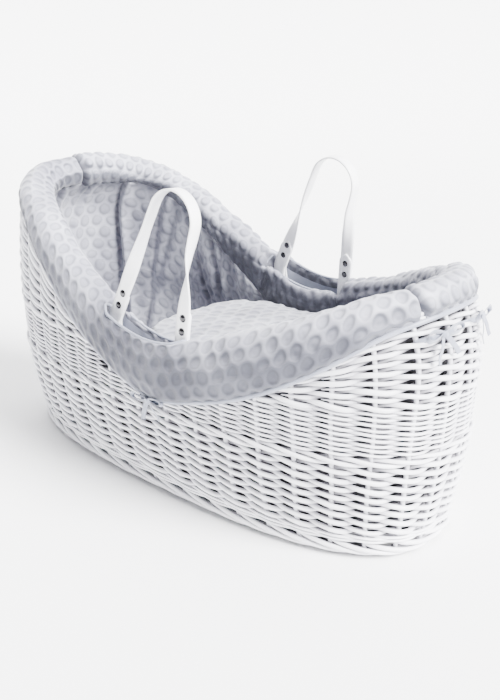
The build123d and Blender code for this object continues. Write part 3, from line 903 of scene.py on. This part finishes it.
def build_slot_piping(side, name):
    """Bound edge round a handle's slot."""
    first, last = (turn_at(x, side) for x in (SLOT_ENDS[0] + 3 * mm, SLOT_ENDS[1] - 3 * mm))
    turn = np.linspace(first, last, 90)
    count = 220
    section = closed_profile(mixed_knots(turn, slot_share(turn)[:, None, None]), count)
    places = [int(count * knot / len(PLAIN)) for knot in LIP_KNOTS]
    lips = [on_wall(turn, section[:, i, 0] + 0.5 * mm, section[:, i, 1]) for i in places]
    path = relax(np.concatenate([lips[0], lips[1][::-1]]), 6, closed=True)
    make_mesh(f"slot_piping_{name}", [patch(tube(path, 1.9 * mm, UP, True), close_rows=True)],
              [satin], replaces=[f"slot_binding_{name}"])


def liner_folds(turn, height):
    """Loose upright folds of the lining, strongest at the hood and beside the slots."""
    hood = np.clip((-wall_base(turn, 0.25)[..., 0] - 60 * mm) / (120 * mm), 0, 1)
    total = np.zeros(np.broadcast(turn, height).shape)
    for place in np.sort(rng.uniform(0.24, 0.76, 20)):
        slant = rng.uniform(-0.16, 0.16)
        width = rng.uniform(0.0028, 0.006)
        across = ((turn - place) + slant * (height - 0.25)) / width
        size = rng.uniform(2.5, 6.0) * mm
        total = total + size * (np.exp(-across ** 2) - 1.1 * np.exp(-((across - 1.5) / 0.6) ** 2))
    fade = np.clip((height - 70 * mm) / (60 * mm), 0, 1)
    pulled = np.zeros_like(total)
    for side in (-1, 1):
        for x_place, lean in ((-82 * mm, 0.10), (-100 * mm, 0.16), (-122 * mm, 0.22)):
            centre = turn_at(x_place, side)
            ridge = np.exp(-(((turn - centre) + side * lean * (0.29 - height) * 0.5) / 0.0035) ** 2)
            pulled = pulled + 7 * mm * ridge * np.clip((height - 0.17) / 0.06, 0, 1)
    return total * fade * hood + pulled


def build_liner():
    """Padded lining of the wall, a closed shell, and its floor."""
    rings = 760
    turn = np.linspace(0, 1, rings, endpoint=False)
    rim = line_height(turn, "rim") - 31 * mm * slot_share(turn)
    low = LINER_BOTTOM
    inner, behind_rows = 100, 12
    share = np.linspace(0, 1, inner)[None]
    height = (rim[:, None] - 2 * mm) * (1 - share) + (low + 1 * mm) * share
    out = LINER_FACE - LINER_SWELL * np.clip((height - 150 * mm) / (80 * mm), 0, 1) ** 1.5
    inside = on_wall(turn[:, None], height, out)
    v = run_lengths(inside, 1)
    u = np.broadcast_to(run_lengths(np.concatenate([inside[:, :1], inside[:1, :1]]), 0)[:rings],
                        v.shape)
    mask = np.clip(np.minimum(share * inner / 3, 1), 0, 1) + 0 * height
    folds = liner_folds(turn[:, None], height)
    inside, dots = dressed(inside, u, v, mask, 0.9, folds, seed=5, close_columns=False)
    back_share = np.linspace(0, 1, behind_rows)[None]
    back_height = (rim[:, None] - 2 * mm) * back_share + low * (1 - back_share)
    outside = on_wall(turn[:, None], back_height, LINER_BACK)
    points = np.concatenate([outside, inside], 1)
    relief = np.concatenate([np.full((rings, behind_rows), 0.9), 0.15 + 0.85 * dots], 1)
    edge = on_wall(np.linspace(0, 1, 180, endpoint=False), low, -17 * mm)
    floor = [np.stack([edge[:, 0] * scale, edge[:, 1] * scale, level + 0 * edge[:, 0]], -1)
             for level, scales in ((low, (1.0, 0.5, 0.02)), (low + 1 * mm, (0.02, 0.5, 1.0)))
             for scale in scales]
    # The back rows take the near-black backing: painted shade seen through the gaps in the weave.
    behind = np.zeros((rings, points.shape[1]), int)
    behind[:, :behind_rows - 1] = 1
    piece = make_mesh("liner_padding",
                      [patch(points, relief, close_rows=True, material=behind.ravel()),
                       patch(np.stack(floor), 0.4, close_rows=True)],
                      [lining_plush, painted_shade_backing], replaces=["liner"])


# ---------------------------------------------------------------- bedding
def pad_rings(middle_x, head, foot, width, exponent, profile, around=420):
    """Rings of a pad: profile is (inset, height) from the bottom's middle to the top's middle."""
    angle = np.interp(np.linspace(0, 1, around, endpoint=False), *TURN_TABLE)
    rings = []
    for inset, height in profile:
        scale = max(1 - inset / width, 0.004)
        x, y = oval_point(angle, head * scale, foot * scale, width * scale, exponent)
        rings.append(np.stack([middle_x + x, y, height + 0 * x], -1))
    return np.stack(rings)


def pad_profile(width, bottom, top, edge, crown, fine):
    """Section of a pad: flat under, round edge, crowned top."""
    under = [(width * t, bottom) for t in np.linspace(1, 0.12, 8)]
    middle = (bottom + top - crown) / 2
    half = (top - crown - bottom) / 2
    side = [(edge * (1 - abs(cos(a)) ** 0.8), middle + half * sin(a))
            for a in np.linspace(-pi / 2 * 0.92, pi / 2 * 0.92, 24)]
    over = [(edge + (width - edge) * t, top - crown * (1 - sin(pi / 2 * min(t * 1.6, 1))))
            for t in np.linspace(0.02, 1, fine)]
    return under + side + over


def build_mattress():
    """White padded mattress with piped edges."""
    low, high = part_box("mattress")
    foot, width = high.x, high.y
    profile = pad_profile(width, low.z, high.z + 1 * mm, 12 * mm, 7 * mm, 30)
    rings = pad_rings(0, foot, foot, width, BASE_POWER, profile, 260)
    relief = soft_noise(rings, 60 * mm, 9)
    rings = rings + UP * (0.8 * mm * relief)[..., None]
    parts = [patch(rings)]
    for height in (low.z + 5 * mm, high.z - 9 * mm):
        edge = pad_rings(0, foot, foot, width, BASE_POWER, [(0.6 * mm, height)], 300)[0]
        parts.append(patch(tube(edge, PIPING_RADIUS, UP, True), close_rows=True))
    piece = make_mesh("mattress_pad", parts, [cloth], "bedding_mattress",
                      ["mattress"])


def build_coverlet():
    """Puffed quilt over the mattress, dimpled like the bumper."""
    low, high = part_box("coverlet")
    middle = COVERLET_MIDDLE_X
    head, foot, width = middle - low.x + 20 * mm, high.x - middle, high.y + 7 * mm
    profile = pad_profile(width, low.z, high.z + 13 * mm, 20 * mm, 9 * mm, 90)
    rings = pad_rings(middle, head, foot, width, QUILT_POWER, profile, 640)
    top = rings[..., 2] > high.z - 50 * mm
    u = rings[..., 0]
    side = np.clip((high.z - 25 * mm - rings[..., 2]) / mm, 0, 400) * mm
    v = rings[..., 1] + np.sign(rings[..., 1]) * side
    points, dots = dressed(rings, u, v, np.clip(top * 1.0 + 0.5, 0, 1), 0.85, seed=11)
    sag = 7 * mm * soft_noise(points, 110 * mm, 21) + 2.5 * mm * soft_noise(points, 38 * mm, 23)
    points = points + UP * (sag * top)[..., None]
    seam = pad_rings(middle, head, foot, width + 1 * mm, QUILT_POWER,
                     [(0.0, high.z - 48 * mm)], 500)[0]
    piping = patch(tube(seam, PIPING_RADIUS, UP, True), close_rows=True, material=1)
    piece = make_mesh("coverlet_quilt", [patch(points, 0.15 + 0.8 * dots), piping],
                      [quilt_plush, satin], "bedding_coverlet", ["coverlet"])


# ---------------------------------------------------------------- straps and ribbons
def strip(path, wide, width, thickness, taper=1.0):
    """Flat band along a path, wide in the direction given at each point."""
    along = tangents(path, False)
    wide = unit(wide - along * np.sum(wide * along, -1, keepdims=True))
    thick = np.cross(along, wide)
    edge = thickness / 2
    half = width / 2
    outline = [(-half + edge * 0.4, -edge), (-half * 0.5, -edge), (half * 0.5, -edge),
               (half - edge * 0.4, -edge), (half, 0), (half - edge * 0.4, edge), (half * 0.5, edge),
               (-half * 0.5, edge), (-half + edge * 0.4, edge), (-half, 0)]
    taper = np.broadcast_to(taper, len(path))
    return np.stack([path + wide * (a * taper)[:, None] + thick * b for a, b in outline], 1)


def leg_middle(leg, height):
    return LEG_X[leg] + LEG_SLANTS[leg] * max(height - LOOP_LENGTH, 0)


def strap_turn(height):
    """How far the strap has turned about itself at a height."""
    share = np.clip((height - TWIST_LOW) / (TWIST_HIGH - TWIST_LOW), 0, 1)
    return pi / 2 * ease(share)


def leg_path(leg):
    """(x, outward, height, turn) along one leg, from its folded-back tip to the arch."""
    layer = STRAP_THICKNESS / 2
    base = LEG_X[leg]

    def shoulder(side, shares):
        return [(base, side * (layer + (LOOP_RADIUS - layer) * t),
                 LOOP_LENGTH + (LOOP_SHOULDER - LOOP_LENGTH) * t, 0) for t in shares]

    points = [(leg_middle(leg, z), -layer, z, 0) for z in np.linspace(TIP_HEIGHT, LOOP_LENGTH, 14)]
    points += shoulder(-1, np.linspace(0.1, 0.9, 9))
    points += [(base, LOOP_RADIUS * cos(angle), -LOOP_DROP + LOOP_RADIUS * sin(angle), 0)
               for angle in np.linspace(pi, 2 * pi, 15)]
    points += shoulder(1, np.linspace(0.9, 0.1, 9))
    rise = BEND_HEIGHT + (TWIST_TOP - BEND_HEIGHT) * np.linspace(0.04, 1, 24)
    points += [(leg_middle(leg, z), layer, z, strap_turn(z))
               for z in (*np.linspace(LOOP_LENGTH, BEND_HEIGHT, 16), *rise)]
    return points


def arch_path():
    """(x, outward, height, turn) over the arch: a straight run, a round bow, a straight run."""
    left_heading, right_heading = (pi / 2 - atan(slant) for slant in LEG_SLANTS)
    rise = ARCH_HEIGHT - TWIST_TOP - ARCH_RADIUS * (1 - cos(left_heading))
    left_x, right_x = (leg_middle(leg, TWIST_TOP) for leg in (0, 1))
    layer = STRAP_THICKNESS / 2
    points = [(left_x + rise * t / tan(left_heading), layer, TWIST_TOP + rise * t, pi / 2)
              for t in np.linspace(0.1, 0.95, 9)]
    centre_x = left_x + rise / tan(left_heading) + ARCH_RADIUS * sin(left_heading)
    centre_z = TWIST_TOP + rise - ARCH_RADIUS * cos(left_heading)
    for angle in np.linspace(left_heading + pi / 2, right_heading - pi / 2, 40):
        points.append((centre_x + ARCH_RADIUS * cos(angle), layer,
                       centre_z + ARCH_RADIUS * sin(angle), pi / 2))
    end_x, end_z = points[-1][0], points[-1][2]
    points += [(end_x + (right_x - end_x) * t, layer, end_z + (TWIST_TOP - end_z) * t, pi / 2)
               for t in np.linspace(0.1, 0.9, 8)]
    return points


AXIS_Z = RIM_LOW * mm - BORDER_HEIGHT / 2
AXIS_Y = float(half_width(np.array(AXIS_Z))) + STAKE_DEPTH - WALL_CURVE


def handle_point(local, side):
    """Lean a handle's (x, outward, height) inwards and put it on the rim border."""
    x, out, z = local[..., 0], local[..., 1], local[..., 2]
    y = AXIS_Y + out * cos(STRAP_LEAN) - z * sin(STRAP_LEAN)
    return np.stack([x, side * y, AXIS_Z + out * sin(STRAP_LEAN) + z * cos(STRAP_LEAN)], -1)


def handle_way(local, side):
    """The same turn for a direction."""
    return handle_point(local, side) - handle_point(np.zeros_like(local), side)


def build_handle(side, name):
    """One strap from tip to tip, bent round the rim border at both ends."""
    ways = (leg_path(0), arch_path(), leg_path(1)[::-1])
    head_leg, arch, foot_leg = (np.array(way) for way in ways)
    half = len(arch) // 2
    arch[:half, 3] = -strap_turn(arch[:half, 2])
    arch[half:, 3] = strap_turn(arch[half:, 2]) - pi
    head_leg[:, 3] = -head_leg[:, 3]
    foot_leg[:, 3] = foot_leg[:, 3] - pi
    rows = np.concatenate([head_leg, arch, foot_leg])
    local = relax(rows[:, :3], 2)
    turn = rows[:, 3:4]
    wide = np.array([1.0, 0, 0]) * np.cos(turn) + np.array([0, 1.0, 0]) * np.sin(turn)
    length = np.concatenate([[0], np.cumsum(np.linalg.norm(np.diff(local, axis=0), axis=1))])
    from_tip = np.minimum(length, length[-1] - length)
    slim = np.clip((local[:, 2] - 90 * mm) / (60 * mm), 0, 1)
    taper = np.clip(0.12 + from_tip / (10 * mm), 0, 1) * (STRAP_FULL - STRAP_SLIMMING * slim)
    band = strip(handle_point(local, side), handle_way(wide, side), STRAP_WIDTH,
                 STRAP_THICKNESS, taper)
    piece = make_mesh(f"strap_{name}", [patch(band)], [coating], body=None,
                      replaces=[f"strap_head_end_{name}", f"strap_foot_end_{name}",
                                f"strap_arch_{name}"])
    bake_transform(piece)


def dome(centre, axis, rim, height, flange):
    """Turned rivet head: a thin flange and a dome."""
    axis = unit(np.array(axis))
    side = unit(np.cross(axis, [1.0, 0.02, 0]))
    other = np.cross(axis, side)
    profile = [(rim * 0.3, -0.3 * mm), (rim, -0.3 * mm), (rim, flange), (rim * 0.86, flange * 1.15)]
    profile += [(rim * 0.84 * cos(a), flange * 1.15 + (height - flange) * sin(a))
                for a in np.linspace(0.12, pi / 2 * 0.97, 9)]
    angle = np.linspace(0, 2 * pi, 28, endpoint=False)[:, None]
    spread = np.cos(angle) * side + np.sin(angle) * other
    return np.stack([centre + spread * r + axis * h for r, h in profile])


def build_rivets(side, name):
    heads = []
    for leg in (0, 1):
        for height in RIVET_HEIGHTS[leg]:
            for face, size, tall in RIVET_DOMES:
                local = np.array([leg_middle(leg, height), face * STRAP_THICKNESS, height])
                way = handle_way(np.array([0, float(face), 0]), side)
                heads.append(patch(dome(handle_point(local, side), way, size, tall,
                                        RIVET_FLANGE)))
    make_mesh(f"rivet_domes_{name}", heads, [nickel], f"handle_{name}_ends",
              [f"rivets_{name}"])


def along_points(points, count):
    """Evenly shared points along given ones."""
    t = np.linspace(0, len(points) - 1, count)
    return np.stack([np.interp(t, np.arange(len(points)), points[:, k]) for k in range(3)], -1)


def bow_strips():
    """(path, width direction) of a bow's ribbons: X along the wall, Y out from it, Z up."""
    loop = [(0, 3, 0), (9, 6, 5), (20, 8.5, 9), (28, 7.5, 7), (30, 6, 0), (24, 4.5, -5),
            (12, 4, -4), (0, 3, 0)]
    tail = [(0, 3.5, 0), (5, 5, -7), (9, 5.5, -17), (15, 4, -26), (17, 4.5, -35)]
    strips = []
    for side, drop in ((-1, 1.0), (1, 0.86)):
        for points, wide in ((loop, (0, 0.8, 0.75)), (tail, (0.9, 0.35, 0.2))):
            known = np.array(points, float) * mm * np.array([side, 1, drop])
            strips.append((relax(along_points(known, 34), 5), np.array(wide) * (side, 1, 1)))
    knot = np.array([(-4.2, 2.5, 3.5), (-4.6, 5.5, 4.5), (0, 8, 5.0), (4.6, 5.5, 4.5),
                     (4.2, 2.5, 3.5)]) * mm * np.array([1, 1, 0])
    strips.append((along_points(knot, 16), UP))
    return strips


def build_bow(name, turn, height, tilt):
    """Tied ribbon on the wall, with a short run of ribbon through the weave beside it."""
    origin = on_wall(turn, height, BOW_OUT)
    normal = wall_normal(np.array(turn), np.array(height))
    along = unit(np.cross(UP, normal))
    up = np.cross(normal, along)
    along, up = along * cos(tilt) + up * sin(tilt), up * cos(tilt) - along * sin(tilt)
    basis = np.stack([along, normal, up])
    ribbons = bow_strips()
    share = np.linspace(0, 1, 24)
    depth = 1.5 * mm - (BOW_OUT + 9 * mm) * np.clip(share * 2 - 1, 0, 1) ** 0.7
    for side in (-1, 1):
        reach = side * (2 * mm + 34 * mm * share)
        ribbons.append((np.stack([reach, depth, -2 * mm * share], -1), UP))
    parts = [patch(strip(origin + path @ basis, wide @ basis, RIBBON_WIDTH, RIBBON_THICKNESS))
             for path, wide in ribbons]
    make_mesh(f"ribbon_{name}", parts, [satin], replaces=[name])


def build_bows():
    low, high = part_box("bow_side_near")
    turns = np.linspace(0, 0.12, 400)
    foot = float(np.interp(BOW_FOOT_Y, wall_base(turns, 0.325)[:, 1], turns))
    for side, name in ((-1, "near"), (1, "far")):
        middle = turn_at((low.x + high.x) / 2, side)
        build_bow(f"bow_side_{name}", middle, BOW_SIDE_HEIGHT, 0.05)
        build_bow(f"bow_foot_{name}", side * foot, BOW_FOOT_HEIGHT, -side * 0.1)


# ---------------------------------------------------------------- surroundings
def build_floor():
    """Plain pale floor that sweeps up behind the basket, and lower down behind the camera."""
    away = np.array([-sin(VIEW_AZIMUTH), cos(VIEW_AZIMUTH), 0])
    sideways = np.array([cos(VIEW_AZIMUTH), sin(VIEW_AZIMUTH), 0])
    bend = [(SWEEP_START + SWEEP_RADIUS * sin(a), SWEEP_RADIUS * (1 - cos(a)))
            for a in np.linspace(0, pi / 2, 24)]
    front = [(-reach - FRONT_EXTRA, rise) for reach, rise in bend[::-1]]
    profile = [(-SWEEP_START - SWEEP_RADIUS - FRONT_EXTRA, 2.6), *front, (0, 0), *bend,
               (SWEEP_START + SWEEP_RADIUS, 6)]
    rows = [[away * reach + sideways * side + np.array([0, 0, rise]) for side in (-8, 0, 8)]
            for reach, rise in profile]
    material, _ = new_material("floor_paint", (0.95, 0.95, 0.95), 0.9)
    floor = make_mesh("floor", [patch(np.array(rows)[::-1], close_columns=False)], [material],
                      body=None)


def add_sun(name, direction, strength, spread):
    """Large soft light from a direction."""
    light = bpy.data.lights.new(name, "SUN")
    light.energy = strength
    light.angle = radians(spread)
    lamp = bpy.data.objects.new(name, light)
    lamp.rotation_mode = "QUATERNION"
    lamp.rotation_quaternion = Vector(direction).to_track_quat("Z", "Y")
    bpy.context.scene.collection.objects.link(lamp)


def build_light():
    """Soft key from the foot's side and above, softer top light, pale surroundings."""
    world = bpy.data.worlds.new("studio")
    bpy.context.scene.world = world
    world.use_nodes = True
    background = world.node_tree.nodes["Background"]
    background.inputs["Color"].default_value = (0.86, 0.87, 1.0, 1)
    background.inputs["Strength"].default_value = WORLD_STRENGTH
    add_sun("key", (2.3, 0.3, 1.85), KEY_STRENGTH, 30)
    add_sun("top", (0.2, 0.5, 2.6), TOP_STRENGTH, 60)


def build_camera():
    """Camera at the view's azimuth and elevation, aimed a little beyond the basket's middle."""
    level = cos(VIEW_ELEVATION)
    back = Vector((sin(VIEW_AZIMUTH) * level, -cos(VIEW_AZIMUTH) * level, sin(VIEW_ELEVATION)))
    data = bpy.data.cameras.new("camera")
    data.sensor_width = 36
    data.lens = LENS
    camera = bpy.data.objects.new("camera", data)
    camera.location = Vector(VIEW_TARGET) + back * VIEW_DISTANCE
    camera.rotation_mode = "QUATERNION"
    camera.rotation_quaternion = (back.to_track_quat("Z", "Y")
                                  @ Matrix.Rotation(VIEW_ROLL, 3, "Z").to_quaternion())
    bpy.context.scene.collection.objects.link(camera)
    bpy.context.scene.camera = camera


build_foot_border()
build_base_mat()
build_lower_weave()
build_wale()
build_upper_weave()
build_rim_border()
build_stakes()
build_liner()
build_bumper()
build_hem_piping()
build_mattress()
build_coverlet()
for side, name in ((-1, "near"), (1, "far")):
    build_slot_piping(side, name)
    build_handle(side, name)
    build_rivets(side, name)
build_bows()
build_floor()
build_light()
build_camera()
